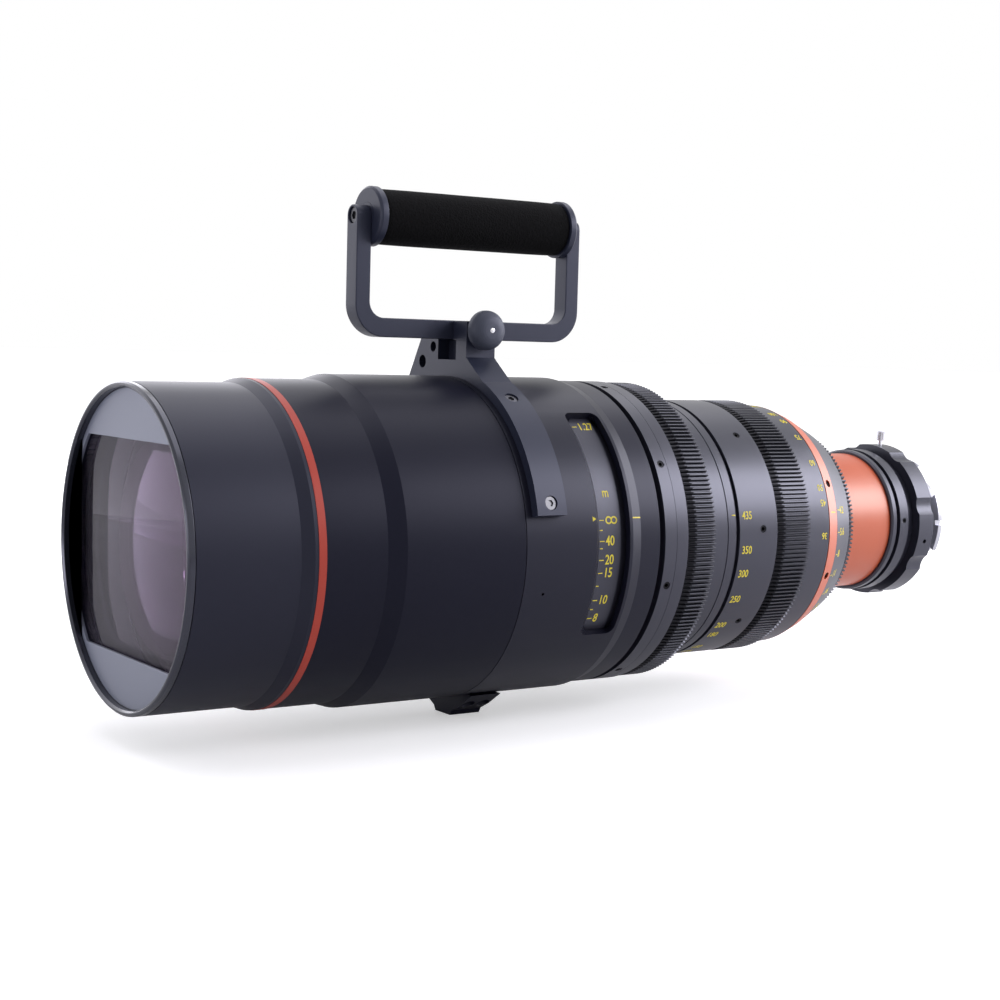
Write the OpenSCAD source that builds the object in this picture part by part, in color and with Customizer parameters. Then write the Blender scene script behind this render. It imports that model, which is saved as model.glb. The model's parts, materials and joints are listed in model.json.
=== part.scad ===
// Motion-picture zoom lens with carrying handle.
// The optical axis is Y. The origin is the centre of the rear mount's seat, the front looks along -Y.
// Stations named s_... are distances along the axis from the front rim. Clock angles run from +X up to +Z.

/* [Front] */
// Diameter over the front rim
front_d = 162; // [156:1:164]
// Length of the front rim ring
rim_l = 4; // [3:0.5:6]
// Width of the front rim's edge
rim_w = 3; // [2:0.5:3]
// Depth and width of the fine groove between the rim and the front barrel
joint_groove = 0.4; // [0.2:0.1:0.6]
// Length of the front barrel up to the accent ring
front_l = 60.5; // [56:0.5:66]
// Wall of the front barrel
front_wall = 2.8; // [2:0.1:3]
// Length of the flare that widens the front barrel
flare_l = 6; // [4:0.5:10]
// Height of each plate of the mask, above and below its window
mask_plate_h = 24.8; // [21.8:0.2:31.8]
// Thickness of the mask plate
mask_t = 1.6; // [1:0.1:2.5]
// Distance from the mask plate back to the edge of the front glass
glass_back = 2.6; // [2:0.1:4]
// Width of the accent ring
accent_l = 4; // [2:0.5:6]
// Height of the accent ring above the barrel
accent_proud = 0.2; // [0.1:0.1:0.5]

/* [Main barrel] */
// Radial step from the front barrel up to the main barrel
main_step = 5.1; // [4:0.1:6]
// Radial step from the shoulder behind the accent ring up to the main barrel
shoulder_step = 2.9; // [2:0.1:3.5]
// Length of the shoulder behind the accent ring
shoulder_l = 33; // [26:0.5:40]
// Length of the ramp up to the main barrel
ramp_l = 9; // [5:0.5:14]
// Length of the main barrel from the accent ring
main_l = 111.2; // [104:0.2:120]
// Length of the focus housing with the scale window
house_l = 86; // [84:0.2:90]
// Wall of the focus housing over the scale drum
house_wall = 3.8; // [3.4:0.1:4.2]
// Radial step from the main barrel down to the focus housing's rear end
tail_step = 1.6; // [1:0.1:2]
// Wall of the tubes that plug into one another
plug_wall = 2.4; // [2:0.1:2.6]
// Length of those plugs
plug_l = 10; // [6:0.5:12]

/* [Scale window] */
// Distance from the housing's front joint to the window's front wall
window_s = 43.6; // [40:0.2:46]
// Length of the window
window_l = 21.4; // [18:0.2:22]
// Radius of the window's corners
window_r = 4; // [2:0.5:6]
// Slope of the window's front wall along the axis
lip_l = 4; // [2:0.5:6]
// Lowest clock angle of the window
window_low = -32.5; // [-40:0.5:-20]
// Highest clock angle of the window
window_high = 53; // [45:0.5:60]

/* [Focus ring] */
// Length of the flange
focus_flange_l = 15.6; // [11:0.2:17]
// Length of the focus gear
focus_gear_l = 19.9; // [16:0.1:24]
// Turn of the focus ring from far to near
focus_turn = 322; // [300:1:330]
// Travel of the focusing group
focus_travel = 30; // [20:1:32]

/* [Gears] */
// Tooth module of the ring gears
gear_module = 0.8; // [0.78:0.01:0.81]
// Wall of a gear ring below its teeth
gear_wall = 2; // [1.5:0.1:2.5]

/* [Zoom ring] */
// Radial step from the main barrel down to the zoom ring
zoom_step = 11.7; // [11:0.1:13]
// Length of the index ring ahead of the zoom ring
index_l = 24.7; // [20:0.1:28]
// Length of the zoom ring's front part
zoom_front_l = 27.7; // [24:0.1:32]
// Length of the zoom gear
zoom_gear_l = 25.6; // [20:0.1:28]
// Length of the zoom ring's rear part
zoom_rear_l = 17.2; // [14:0.1:20]
// Wall of the zoom ring under its gear
zoom_wall = 4.5; // [4:0.1:5]
// Turn of the zoom ring from long to short
zoom_turn = 170; // [150:1:175]
// Travel of the variator group
variator_travel = 70; // [50:1:72]
// Travel of the compensator group
compensator_travel = 20; // [10:1:30]

/* [Iris] */
// Radial step from the rear barrel up to the iris gear's teeth
iris_step = 15.1; // [14:0.1:16]
// Length of the coloured ring behind the zoom ring
end_ring_l = 9; // [7:0.5:11]
// Length of the iris ring's cone
iris_cone_l = 17.4; // [16:0.1:20]
// Length of the iris gear
iris_gear_l = 6.9; // [5:0.1:8]
// Number of iris blades
blade_count = 7; // [5:1:7]
// Thickness of an iris blade
blade_t = 0.3; // [0.2:0.05:0.35]
// Swing of a blade from open to closed
blade_swing = 36; // [20:1:38]

/* [Rear] */
// Diameter of the coloured rear barrel
rear_d = 83.4; // [80:0.2:86]
// Length of the rear barrel
rear_l = 45.6; // [38:0.1:50]
// Length of the rear collar
collar_l = 19.7; // [18:0.1:24]
// Radial step from the rear barrel up to the collar
collar_step = 2.7; // [2:0.1:4]
// Radial step from the collar up to the lobes of the back focus ring
lobe_step = 3.1; // [2.6:0.1:4]
// Length of the back focus ring
lobe_l = 12.4; // [8:0.1:13]
// Number of lobes
lobe_count = 12; // [8:1:16]
// Turn of the back focus ring each way
back_turn = 12; // [5:1:20]
// Length of the neck that the camera's lock ring grips behind
neck_l = 13.4; // [11:0.2:18]
// Diameter of the mount's locating spigot
spigot_d = 54; // [53:0.5:55]
// Length of the spigot behind the seat
spigot_l = 11.5; // [8:0.5:14]
// Thickness of the mount's tabs
tab_t = 3.1; // [2.5:0.1:4]
// Diameter over the mount's four tabs
tab_d = 78; // [74:0.5:82]

/* [Handle] */
// Length of the handle frame
handle_l = 141; // [130:1:150]
// Width of the handle frame's bar
bar_w = 11; // [9:0.5:14]
// Thickness of the handle frame's uprights
upright_t = 8.5; // [7:0.5:10]
// Height of the lower bar's section
bar_h = 10; // [8:0.5:11]
// Outer corner radius of the frame
corner_r = 17; // [13:0.5:20]
// Height of the lower bar's underside above the main barrel
bar_rise = 19.5; // [19:0.5:22]
// Height of the grip's centre above the bar's underside
grip_rise = 62; // [54:1:70]
// Diameter of the grip's foam
grip_d = 29; // [26:0.5:30]
// Diameter of the grip's end caps
cap_d = 31; // [30:0.5:34]
// Travel of the handle in its clamp, each way
handle_travel = 15; // [5:1:20]

/* [Saddle and foot] */
// Width of the saddle along the axis
saddle_w = 18; // [14:0.5:22]
// Thickness of the saddle's arms
arm_t = 5; // [4:0.5:6]
// Clock angle of the arms' lower ends
arm_low = 12; // [5:1:20]
// Distance from the front rim to the saddle's front face
saddle_s = 183.5; // [181:0.5:186]
// Length of the foot along the axis
foot_l = 18.6; // [16:0.2:22]
// Width of the foot's flat underside
foot_w = 15; // [12:0.5:20]
// Height of the foot below the barrel
foot_h = 10.9; // [8:0.1:14]

/* [Hidden] */

// Clearances: running fit on a radius, gap between moving faces, overrun of a cut
fit = 0.05;
gap = 0.3;
run = 1;
round_fn = 96;
small_fn = 32;

// Colours
satin_black = [0.13, 0.14, 0.16];
deep_black = [0.06, 0.06, 0.07];
slate = [0.28, 0.30, 0.34];
accent = [0.80, 0.30, 0.20];
bright = [0.80, 0.80, 0.82];
lens_tint = [0.55, 0.50, 0.62];
foam_black = [0.05, 0.05, 0.05];

// Radial stack of the front
front_r = front_d / 2;
front_bore = front_r - front_wall - joint_groove;
mask_half_h = front_bore - mask_plate_h;
main_r = front_r + main_step;
shoulder_r = main_r - shoulder_step;
tail_r = main_r - tail_step;
bar_z = main_r + bar_rise;
house_bore = main_r - house_wall;
drum_wall = 3.2;
drum_r = house_bore - gap;
drum_bore = drum_r - drum_wall;
plug_r = house_bore - plug_wall;
plug_bore = plug_r - plug_wall;
journal_step = 1.8;
journal_r = drum_bore - journal_step;
focus_bore = journal_r + fit;
cam_room = 5.6;
cam_wall = 3;
focus_cam_r = drum_bore - cam_room;
focus_cam_bore = focus_cam_r - cam_wall;
tube_wall = 4;
tube_r = focus_cam_bore - fit;
tube_bore = tube_r - tube_wall;
focus_cell_r = tube_bore - fit;

// Radial stack of the gears
tooth_add = 1;
tooth_ded = 1.25;
function gear_tip(teeth) = gear_module * (teeth / 2 + tooth_add);
function gear_root(teeth) = gear_module * (teeth / 2 - tooth_ded);
function gear_seat(teeth) = gear_root(teeth) - gear_wall;
function teeth_for(r) = 2 * round(r / gear_module - tooth_add);
rear_r = rear_d / 2;
focus_r = tail_r;
focus_teeth = teeth_for(focus_r - joint_groove);
zoom_teeth = teeth_for(main_r - zoom_step);
iris_teeth = teeth_for(rear_r + iris_step);
focus_seat = gear_seat(focus_teeth);
zoom_tip = gear_tip(zoom_teeth);
zoom_seat = gear_seat(zoom_teeth);
iris_tip = gear_tip(iris_teeth);
iris_seat = gear_seat(iris_teeth);

// Radial stack of the zoom drive
zoom_bore = zoom_seat - zoom_wall;
zoom_journal = zoom_bore - fit;
core_wall = 4.6;
core_bore = zoom_journal - core_wall;
zoom_cam_r = core_bore - fit;
zoom_cam_wall = 4;
zoom_cam_bore = zoom_cam_r - zoom_cam_wall;
guide_r = zoom_cam_bore - fit;
guide_wall = 3.3;
guide_bore = guide_r - guide_wall;
cell_r = guide_bore - fit;
index_r = zoom_tip + accent_proud;
index_seat = index_r - 2 * guide_wall;
retain_r = focus_bore + cam_wall / 4;

// Stations along the axis
s_rim = rim_l;
s_accent = s_rim + front_l;
s_main = s_accent + accent_l;
s_joint = s_main + main_l;
s_tail = s_joint + house_l;
bevel_s = 66.9;
bevel_l = 6.4;
s_window = s_joint + window_s;
lip_over = run * lip_l / house_wall;
corner_step_a = 15;
drum_over = 3.5;
s_drum = s_window - drum_over;
band_l = 18.4;
s_band_end = s_window + band_l;
s_focus = s_tail + gap;
neck_focus_l = 3.4;
index_gap_l = 2.6;
s_flange = s_focus + neck_focus_l;
s_focus_gear = s_flange + focus_flange_l;
s_focus_end = s_focus_gear + focus_gear_l;
s_index = s_focus_end + gap;
s_zoom = s_index + index_l + gap;
s_zoom_gear = s_zoom + zoom_front_l;
s_zoom_rear = s_zoom_gear + zoom_gear_l;
s_zoom_end = s_zoom_rear + zoom_rear_l;
s_end_ring = s_zoom_end + gap;
s_iris = s_end_ring + end_ring_l + gap;
s_iris_gear = s_iris + iris_cone_l;
s_iris_end = s_iris_gear + iris_gear_l;
s_rear = s_iris_end + gap;
s_collar = s_rear + rear_l;
s_band = s_collar + collar_l;
s_lobe = s_band + gap;
s_plate = s_lobe + lobe_l + gap;
lens_l = s_plate + neck_l + tab_t;

// Optical groups
glass_edge = 6;
front_glass_r = front_bore - cam_wall;
front_glass_s = s_rim + mask_t + glass_back;
front_cell_lip = 2;
second_gap = 17.4;
focus_cell_s = s_main + main_l / 2;
cell_l = 26;
variator_s = s_zoom + cell_l / 2;
compensator_s = s_zoom_gear + cell_l / 2 + gap;
pin_r = 3;
slot_count = 3;

// Iris
iris_journal = iris_seat - zoom_wall;
iris_bore_wall = 5;
iris_room = iris_journal - iris_bore_wall;
blade_gap = 0.4;
blade_pitch = blade_t + blade_gap;

// Optical surfaces
front_bulge_share = 0.7;
second_r = front_glass_r - 2 * front_cell_lip;
second_s = front_glass_s + 2 * glass_edge + second_gap;
front_cell_end = second_s + glass_edge + front_cell_lip;
focus_glass_r = focus_cell_r - cam_wall;
zoom_glass_r = cell_r - cam_wall;
guide_s = s_zoom - variator_travel;

// Screws and small holes
screw_r = 2.2;
small_screw_r = 1.6;
bolt_r = 2.1;
bolt_head_r = 3.4;
socket_r = 1.8;
dot_r = 0.8;
dot_a = -14.5;
dot_s = 12.3;
socket_share = 0.55;
focus_screw_n = 8;
focus_screw_a = 30.3;
focus_screw_s = 4;
s_focus_screw = s_flange + focus_screw_s;
groove_share = 0.5;
zoom_screw_n = 8;
zoom_screw_a = 4.3;
zoom_screw_s = 17.2;
s_zoom_screw = s_zoom + zoom_screw_s;
end_screw_n = 8;
end_screw_a = 24.5;
end_seat = zoom_journal - cam_wall;
end_rear_r = zoom_tip - 3 * gear_wall;
s_end_screw = s_end_ring + end_ring_l / 2;
collar_screw_n = 4;
collar_screw_a = 4;

// Tooth outline as shares of the tooth pitch
root_share = 0.34;
tip_share = 0.15;

// Zoom drive
drive_a = 90;
slot_spare = asin((pin_r + 2 * gap) / core_bore);
index_share = 0.64;

// Iris
cone_rise = 3.4;
cone_wall = 4;
iris_open_r = 22;
iris_plate_t = 2;
s_blades = s_iris + iris_plate_t + 2 * blade_gap + gap;
post_r = 1.2;
blade_pivot_r = iris_room - 3 * post_r;
blade_span = 100;

// Rear end
plug_share = 0.7;
rear_wall = 6;
rear_bore = rear_r - rear_wall;
relay_r = rear_bore - cam_wall;
relay_inset = 3;
relay_s = s_rear + relay_inset;
collar_r = rear_r + collar_step;
lobe_r = collar_r + lobe_step;
hub_step = 6.4;
hub_wall = 8;
hub_r = collar_r - hub_step;
hub_bore = hub_r - hub_wall;
bead_l = 4.8;
bead_gap_l = 1.6;
collar_band_l = 7;
s_collar_band = s_collar + bead_l + bead_gap_l;
s_collar_screw = s_collar_band + collar_band_l / 2;
lobe_a = 3.2;
lobe_depth = 1.8;
lock_a = 84;
lock_r = 1.3;
lock_neck = 3;
lock_lift = 3;
lock_head_l = 5.5;
knurl_n = 16;
spigot_wall = 2.5;
plate_step = 9;
mount_bore = spigot_d / 2 - spigot_wall;
plate_r = spigot_d / 2 + plate_step;
tab_gap_a = 45;
tab_gap_w = 24;

// Handle
handle_shift = 2.2;
handle_s = saddle_s + saddle_w / 2 - handle_l / 2 + handle_shift;
grip_z = bar_z + grip_rise;
rod_r = 7;
cap_t = 4.5;
stud_r = 3;
jaw_w = 13.2;
knob_r = 10.5;
knob_l = 11;
dome_a = [10, 20, 30, 40, 50, 60, 70, 80, 90];

// Saddle and foot
bolt_end_a = 4;
bolt_upper_a = 57;
saddle_bolt_a = [arm_low + bolt_end_a, bolt_upper_a, 180 - bolt_upper_a, 180 - arm_low - bolt_end_a];
saddle_hole_shares = [[-0.52, 0.14], [-0.92, 0.44]];
inner_jaw_h = 6;
pocket_w = 18;
pocket_h = 10.5;
pocket_l = 7;
stem_out = 19;
stem_left_a = 119.5;
stem_right_a = 50;
stem_down = 9;
foot_gap = 6.8;
foot_s = s_joint + foot_gap;
foot_bolt_a = [-101.5, -78.5];
foot_bolt_share = 0.25;
foot_bolt_l = 5.4;
foot_outline_shares = [[0.5, 0], [0.62, 0.26], [1.14, 0.62], [1.9, 1.3]];
thread_r = 4.2;
thread_l = 8;

// Places things s millimetres behind the front rim, with their own Z along the axis
module on_axis(s = 0) {
    translate([0, s - lens_l, 0]) rotate([-90, 0, 0]) children();
}

// Turns children to a clock angle about the axis
module clocked(a) {
    rotate([0, 0, -a]) children();
}

// A profile of points [radius, station] turned about the axis
module turned(points) {
    on_axis() rotate_extrude($fn = round_fn) polygon(points);
}

// A ring between two radii and two stations
module ring(r_out, r_in, s_from, s_to) {
    turned([[r_in, s_from], [r_out, s_from], [r_out, s_to], [r_in, s_to]]);
}

// Places children at a clock angle, their own Z pointing away from the axis
module spoke(a, s) {
    on_axis(s) clocked(a) rotate([0, 90, 0]) children();
}

module front_rim() {
    lip = rim_w / 3;
    color(satin_black)
    turned([[front_r - rim_w, lip], [front_r - rim_w + lip, 0], [front_r - lip, 0],
        [front_r, lip], [front_r, s_rim - joint_groove], [front_r - joint_groove, s_rim - joint_groove],
        [front_r - joint_groove, s_rim], [front_r - rim_w, s_rim]]);
}

module light_mask() {
    color(slate)
    difference() {
        on_axis(s_rim) cylinder(r = front_bore, h = mask_t, $fn = round_fn);
        on_axis(s_rim - run) intersection() {
            cylinder(r = front_glass_r, h = mask_t + 2 * run, $fn = round_fn);
            translate([-front_r, -mask_half_h, 0]) cube([front_d, 2 * mask_half_h, mask_t + 2 * run]);
        }
    }
}

module front_barrel() {
    flare_s = s_accent - flare_l - accent_l / 2;
    plug_out = shoulder_r - front_wall;
    color(satin_black)
    turned([[front_bore, s_rim], [front_r, s_rim], [front_r, flare_s],
        [shoulder_r, flare_s + flare_l], [shoulder_r, s_accent], [plug_out, s_accent],
        [plug_out, s_main + plug_l], [plug_out - plug_wall, s_main + plug_l],
        [plug_out - plug_wall, s_accent - plug_wall], [front_bore, s_accent - plug_wall]]);
}

module accent_ring() {
    color(accent)
    ring(shoulder_r + accent_proud, shoulder_r - front_wall, s_accent, s_main);
}

module main_barrel() {
    ramp_s = s_main + shoulder_l;
    bore = shoulder_r - front_wall;
    color(satin_black)
    turned([[bore, s_main], [shoulder_r, s_main], [shoulder_r, ramp_s],
        [main_r, ramp_s + ramp_l], [main_r, s_joint - joint_groove],
        [main_r - joint_groove, s_joint - joint_groove], [main_r - joint_groove, s_joint], [plug_r, s_joint],
        [plug_r, s_joint - plug_l], [bore, s_joint - plug_l - plug_wall]]);
}

module focus_housing() {
    corner_a = asin(window_r / main_r);
    color(satin_black)
    difference() {
        turned([[plug_bore, s_joint - plug_l], [plug_r, s_joint - plug_l], [plug_r, s_joint],
            [main_r, s_joint], [main_r, s_joint + bevel_s], [tail_r, s_joint + bevel_s + bevel_l],
            [tail_r, s_tail], [house_bore, s_tail], [house_bore, s_drum - gap],
            [plug_bore, s_drum - gap - plug_wall]]);
        for (t = [0 : corner_step_a : 90])
            window_sector(corner_a * (1 - sin(t)), window_r * (1 - cos(t)));
        spoke(dot_a, s_joint + dot_s) translate([0, 0, plug_r])
            cylinder(r = dot_r, h = main_r, $fn = small_fn);
        foot_bolts() cylinder(r = bolt_r, h = foot_h, $fn = small_fn);
    }
}

// A cutter for the window, drawn in by an angle at its sides and by a length at its ends
module window_sector(inset_a, inset) {
    on_axis() rotate([0, 0, inset_a - window_high])
        rotate_extrude(angle = window_high - window_low - 2 * inset_a, $fn = round_fn)
        polygon([[house_bore - run, s_window + inset + lip_l + lip_over],
            [main_r + run, s_window + inset - lip_over],
            [main_r + run, s_window + window_l - inset], [house_bore - run, s_window + window_l - inset]]);
}

module front_cell() {
    lip_r = front_glass_r - front_cell_lip;
    color(deep_black)
    turned([[front_glass_r, s_rim + mask_t], [front_bore, s_rim + mask_t],
        [front_bore, front_cell_end], [second_r - front_cell_lip, front_cell_end],
        [second_r - front_cell_lip, second_s + glass_edge + gap], [second_r, second_s + glass_edge + gap],
        [second_r, second_s - glass_edge], [lip_r, second_s - glass_edge],
        [lip_r, front_glass_s + glass_edge],
        [front_glass_r, front_glass_s + glass_edge]]);
}

// A round lens whose faces bulge by the given amounts, negative where hollow
function dome_r(r, bulge) = (r * r + bulge * bulge) / (2 * abs(bulge));
module lens(r, s, edge, bulge_front, bulge_back) {
    dome_front = dome_r(r, bulge_front);
    dome_back = dome_r(r, bulge_back);
    steps = 12;
    front_pts = [for (i = [0 : steps]) let (x = r * i / steps)
        [x, s - sign(bulge_front) * (sqrt(pow(dome_front, 2) - x * x) - (dome_front - abs(bulge_front)))]];
    back_pts = [for (i = [steps : -1 : 0]) let (x = r * i / steps)
        [x, s + edge + sign(bulge_back) * (sqrt(pow(dome_back, 2) - x * x) - (dome_back - abs(bulge_back)))]];
    color(lens_tint) turned(concat(front_pts, back_pts));
}

module front_element() {
    lens(front_glass_r, front_glass_s, glass_edge, glass_edge * front_bulge_share, -glass_edge / 2);
}

module second_element() {
    lens(second_r - fit, second_s, glass_edge, glass_edge, glass_edge / 2);
}

module front_tube() {
    s_seat = s_main + plug_l;
    flange_r = shoulder_r - front_wall;
    color(deep_black)
    difference() {
        turned([[tube_bore, s_seat], [flange_r, s_seat], [flange_r, s_seat + plug_wall],
            [tube_r, s_seat + plug_wall], [tube_r, s_focus + plug_l], [tube_bore, s_focus + plug_l]]);
        for (k = [1 : slot_count]) slot(k, focus_cell_s - focus_travel - pin_r + cell_l / 2,
            focus_cell_s + cell_l / 2 + pin_r, tube_bore, tube_r);
    }
}

// A straight guide slot through a tube's wall
module slot(k, s_from, s_to, r_in, r_out) {
    on_axis() clocked(k * 360 / slot_count) translate([r_in - run, -pin_r - fit, s_from - gap])
        cube([r_out - r_in + 2 * run, 2 * (pin_r + fit), s_to - s_from + 2 * gap]);
}

// A cell that slides in a tube, guided by pins that reach through its slots
module sliding_cell(r, s, glass_r, pin_out) {
    color(satin_black)
    union() {
        turned([[glass_r - front_cell_lip, s], [r, s], [r, s + cell_l], [glass_r, s + cell_l],
            [glass_r, s + front_cell_lip], [glass_r - front_cell_lip, s + front_cell_lip]]);
        for (k = [1 : slot_count]) spoke(k * 360 / slot_count, s + cell_l / 2)
            translate([0, 0, (glass_r + r) / 2])
            cylinder(r = pin_r, h = pin_out - (glass_r + r) / 2, $fn = small_fn);
    }
}

module focus_cell() {
    sliding_cell(focus_cell_r, focus_cell_s, focus_glass_r, tube_r - gap);
}

module focus_element() {
    lens(focus_glass_r, focus_cell_s + front_cell_lip + glass_edge / 2, glass_edge, -glass_edge / 2,
        glass_edge / 2);
}

module scale_drum() {
    color(satin_black)
    turned([[drum_bore, s_drum], [drum_r, s_drum], [drum_r, s_band_end], [drum_r - gear_wall, s_band_end],
        [drum_r - gear_wall, s_tail], [focus_cam_bore, s_tail],
        [focus_cam_bore, s_main + plug_l + 2 * plug_wall], [focus_cam_r, s_main + plug_l + 2 * plug_wall],
        [focus_cam_r, s_tail - cam_wall], [drum_bore, s_tail - cam_wall]]);
}

module focus_ring() {
    groove_s = s_flange + focus_flange_l * groove_share;
    groove = accent_proud;
    neck_r = drum_r - gear_wall;
    color(satin_black)
    difference() {
        turned([[focus_bore, s_tail], [neck_r, s_tail], [neck_r, s_flange], [focus_r, s_flange],
            [focus_r, groove_s], [focus_r - groove, groove_s],
            [focus_r - groove, groove_s + groove], [focus_r, groove_s + groove], [focus_r, s_focus_gear],
            [focus_seat, s_focus_gear], [focus_seat, s_focus_end], [focus_bore, s_focus_end]]);
        for (k = [0 : focus_screw_n - 1]) spoke(focus_screw_a + k * 360 / focus_screw_n, s_focus_screw)
            translate([0, 0, focus_seat]) cylinder(r = screw_r, h = focus_r, $fn = small_fn);
    }
}

// A ring gear with straight trapezoid teeth
module ring_gear(teeth, s, length) {
    pitch_a = 360 / teeth;
    r_tip = gear_tip(teeth);
    r_root = gear_root(teeth);
    on_axis(s) linear_extrude(height = length, convexity = 4) difference() {
        polygon([for (k = [0 : teeth - 1], p = [[r_root, -root_share], [r_tip, -tip_share],
            [r_tip, tip_share], [r_root, root_share]])
            let (a = (k + p[1]) * pitch_a) p[0] * [cos(a), sin(a)]]);
        circle(r = gear_seat(teeth), $fn = round_fn);
    }
}

module focus_gear() {
    color(deep_black) ring_gear(focus_teeth, s_focus_gear, focus_gear_l);
}

// A set screw with a hexagon socket, its head a little below the surface
module set_screw(a, s, r_from, r_to, r_screw) {
    spoke(a, s) difference() {
        translate([0, 0, r_from]) cylinder(r = r_screw, h = r_to - r_from, $fn = small_fn);
        translate([0, 0, r_to - r_screw]) cylinder(r = r_screw * socket_share, h = r_screw + run, $fn = 6);
    }
}

module focus_ring_screws() {
    color(bright) for (k = [0 : focus_screw_n - 1])
        set_screw(focus_screw_a + k * 360 / focus_screw_n, s_focus_screw, focus_seat, focus_r - gap, screw_r);
}

module core_housing() {
    inner_step = s_focus + 2 * plug_l + cam_wall;
    end_face = s_iris;
    color(deep_black)
    difference() {
        turned([[tube_r, s_focus], [journal_r, s_focus], [journal_r, s_index], [index_seat, s_index],
            [index_seat, s_zoom - gap], [zoom_journal, s_zoom - gap], [zoom_journal, s_end_ring],
            [end_seat, s_end_ring], [end_seat, end_face], [iris_journal, end_face],
            [iris_journal, s_iris_end + gap], [iris_room, s_iris_end + gap],
            [iris_room, end_face + gap], [guide_bore, end_face + gap],
            [guide_bore, s_end_ring], [core_bore, s_end_ring], [core_bore, inner_step - gap],
            [tube_bore, inner_step - gap], [tube_bore, s_focus + plug_l], [tube_r, s_focus + plug_l]]);
        drive_slot();
    }
}

// The slot through which the zoom ring's drive pin turns the cam
module drive_slot() {
    on_axis(s_zoom_rear) rotate([0, 0, -drive_a - zoom_turn - slot_spare])
        rotate_extrude(angle = zoom_turn + 2 * slot_spare, $fn = round_fn)
        translate([core_bore - run, -pin_r - gap])
        square([zoom_journal - core_bore + 2 * run, 2 * (pin_r + gap)]);
}

module index_ring() {
    line_s = s_index + index_l * index_share;
    line_w = 2 * joint_groove;
    color(satin_black)
    turned([[index_seat, s_index], [retain_r, s_index], [retain_r, s_index + accent_l / 2],
        [index_r, s_index + accent_l], [index_r, line_s], [index_r - joint_groove, line_s],
        [index_r - joint_groove, line_s + line_w], [index_r, line_s + line_w],
        [index_r, s_zoom - gap - index_gap_l], [index_r - gear_wall, s_zoom - gap - index_gap_l],
        [index_r - gear_wall, s_zoom - gap], [index_seat, s_zoom - gap]]);
}

module zoom_ring() {
    rear_r1 = zoom_tip - gear_wall;
    rear_r2 = rear_r1 - accent_proud * 4;
    color(satin_black)
    difference() {
        turned([[zoom_bore, s_zoom], [zoom_tip, s_zoom], [zoom_tip, s_zoom_gear], [zoom_seat, s_zoom_gear],
            [zoom_seat, s_zoom_rear], [rear_r1, s_zoom_rear], [rear_r2, s_zoom_end - gap],
            [zoom_bore, s_zoom_end - gap]]);
        for (k = [0 : zoom_screw_n - 1]) spoke(zoom_screw_a + k * 360 / zoom_screw_n, s_zoom_screw)
            translate([0, 0, zoom_seat]) cylinder(r = screw_r, h = zoom_tip, $fn = small_fn);
        spoke(drive_a, s_zoom_rear) cylinder(r = pin_r, h = zoom_tip + run, $fn = small_fn);
    }
}

module zoom_gear() {
    color(deep_black) difference() {
        ring_gear(zoom_teeth, s_zoom_gear, zoom_gear_l);
        spoke(drive_a, s_zoom_rear) cylinder(r = pin_r, h = zoom_seat + gear_wall / 2, $fn = small_fn);
    }
}

module zoom_ring_screws() {
    color(deep_black) for (k = [0 : zoom_screw_n - 1])
        set_screw(zoom_screw_a + k * 360 / zoom_screw_n, s_zoom_screw, zoom_seat, zoom_tip - gap, screw_r);
}

module zoom_cam() {
    color(bright)
    difference() {
        ring(zoom_cam_r, zoom_cam_bore, s_focus + 2 * plug_l + cam_wall + gap, s_end_ring - gap);
        spoke(drive_a, s_zoom_rear) cylinder(r = pin_r, h = zoom_cam_r + run, $fn = small_fn);
    }
}

module zoom_drive_pin() {
    color(bright) spoke(drive_a, s_zoom_rear) translate([0, 0, zoom_cam_bore + gap])
        cylinder(r = pin_r, h = zoom_seat - zoom_cam_bore - gap - fit, $fn = small_fn);
}

module guide_tube() {
    color(satin_black)
    difference() {
        ring(guide_r, guide_bore, guide_s, s_end_ring);
        for (k = [1 : slot_count]) slot(k, variator_s + cell_l / 2 - variator_travel - pin_r,
            compensator_s + cell_l / 2 + pin_r, guide_bore, guide_r);
    }
}

module variator_cell() {
    sliding_cell(cell_r, variator_s, zoom_glass_r, guide_r - gap);
}

module variator_element() {
    lens(zoom_glass_r, variator_s + front_cell_lip + glass_edge / 2, glass_edge, -glass_edge / 2,
        -glass_edge / 4);
}

module compensator_cell() {
    sliding_cell(cell_r, compensator_s, zoom_glass_r, guide_r - gap);
}

module compensator_element() {
    lens(zoom_glass_r, compensator_s + front_cell_lip + glass_edge / 2, glass_edge, glass_edge / 2,
        -glass_edge / 4);
}

module end_ring() {
    front_r1 = zoom_tip - gear_wall - accent_proud * 4;
    color(accent)
    difference() {
        turned([[end_seat, s_end_ring], [front_r1, s_end_ring], [end_rear_r, s_iris - gap],
            [end_seat, s_iris - gap]]);
        for (k = [0 : end_screw_n - 1]) spoke(end_screw_a + k * 360 / end_screw_n, s_end_screw)
            translate([0, 0, end_seat + run]) cylinder(r = screw_r, h = front_r1, $fn = small_fn);
    }
}

module end_ring_screws() {
    color(deep_black) for (k = [0 : end_screw_n - 1])
        set_screw(end_screw_a + k * 360 / end_screw_n, s_end_screw, end_seat + run, end_rear_r, screw_r);
}

module iris_ring() {
    color(satin_black)
    turned([[end_rear_r - cone_wall, s_iris], [end_rear_r - gap, s_iris], [iris_tip + cone_rise, s_iris_gear],
        [iris_seat, s_iris_gear], [iris_seat, s_iris_end],
        [iris_journal + fit, s_iris_end], [iris_journal + fit, s_iris_gear - iris_gear_l],
        [iris_tip - cone_wall, s_iris_gear - iris_gear_l]]);
}

module iris_gear() {
    color(deep_black) ring_gear(iris_teeth, s_iris_gear, iris_gear_l);
}

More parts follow.
